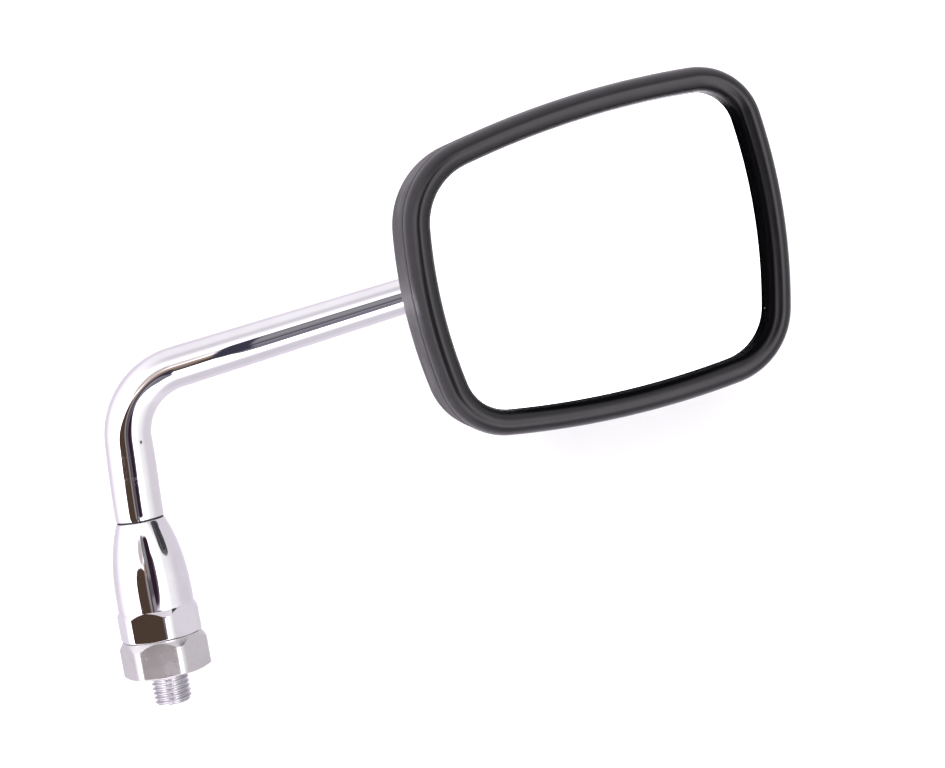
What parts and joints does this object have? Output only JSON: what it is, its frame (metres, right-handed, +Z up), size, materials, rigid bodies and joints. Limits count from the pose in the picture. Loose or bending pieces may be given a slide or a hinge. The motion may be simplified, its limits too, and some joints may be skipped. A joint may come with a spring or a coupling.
{
  "type": "motorcycle mirror",
  "caption": "Right-hand motorcycle mirror: rounded glass in a rubber-rimmed head on a ball joint, bent tapered chrome stem, lock nut and threaded adapter stud.",
  "frame": {"origin": "on the axis of the mounting stud, at the underside of the adapter's hexagon, where it seats on the lever clamp", "axes": "+Z up along the stud's axis (the stud points down, -Z), +X outboard along the arm, the glass faces -Y towards the rider"},
  "size_m": [0.1896, 0.0711, 0.1431],
  "materials": {
    "chrome": "polished chrome plate over steel",
    "zinc": "satin zinc plate, turned and milled steel",
    "steel": "pressed or drawn steel with a thin zinc plate",
    "nylon": "natural nylon",
    "shell_plastic": "fine-textured moulded black plastic",
    "backing_plastic": "moulded black plastic",
    "rim_rubber": "moulded black rubber with a soft sheen",
    "washer_rubber": "thin black rubber",
    "mirror": "silvered float glass"
  },
  "bodies": {
    "mount": {"adapter": "zinc", "taper_nut": "chrome"},
    "stem": {"seal_washer": "washer_rubber", "stem_stud": "zinc", "stem_tube": "chrome", "ball_pin": "steel"},
    "front_cup": {"front_liner": "nylon"},
    "rear_cup": {"rear_liner": "nylon"},
    "head": {"back_shell": "shell_plastic", "stay_plate": "steel", "clamp_plate": "steel", "clamp_screw_1": "steel", "clamp_screw_2": "steel", "clamp_screw_3": "steel", "clamp_spring_1": "steel", "clamp_spring_2": "steel", "clamp_spring_3": "steel", "stay_screw_1": "steel", "stay_screw_2": "steel", "stay_screw_3": "steel", "stay_screw_4": "steel", "backing_plate": "backing_plastic", "mirror_glass": "mirror", "rubber_rim": "rim_rubber"}
  },
  "joints": [
    {"name": "stem_swivel", "type": "hinge", "parent": "mount", "child": "stem", "pos_m": [0, 0, 0], "axis": [0, 0, 1], "range_deg": [-60, 60]},
    {"name": "head_pan", "type": "hinge", "parent": "stem", "child": "front_cup", "pos_m": [0.12542, -0.02351, 0.09446], "axis": [0, 0, 1], "range_deg": [-12, 12]},
    {"name": "head_tilt", "type": "hinge", "parent": "front_cup", "child": "rear_cup", "pos_m": [0.12542, -0.02351, 0.09446], "axis": [0.9781, 0.2079, 0], "range_deg": [-12, 12]},
    {"name": "head_spin", "type": "hinge", "parent": "rear_cup", "child": "head", "pos_m": [0.12542, -0.02351, 0.09446], "axis": [0.2079, -0.9781, 0.007], "continuous": true}
  ]
}
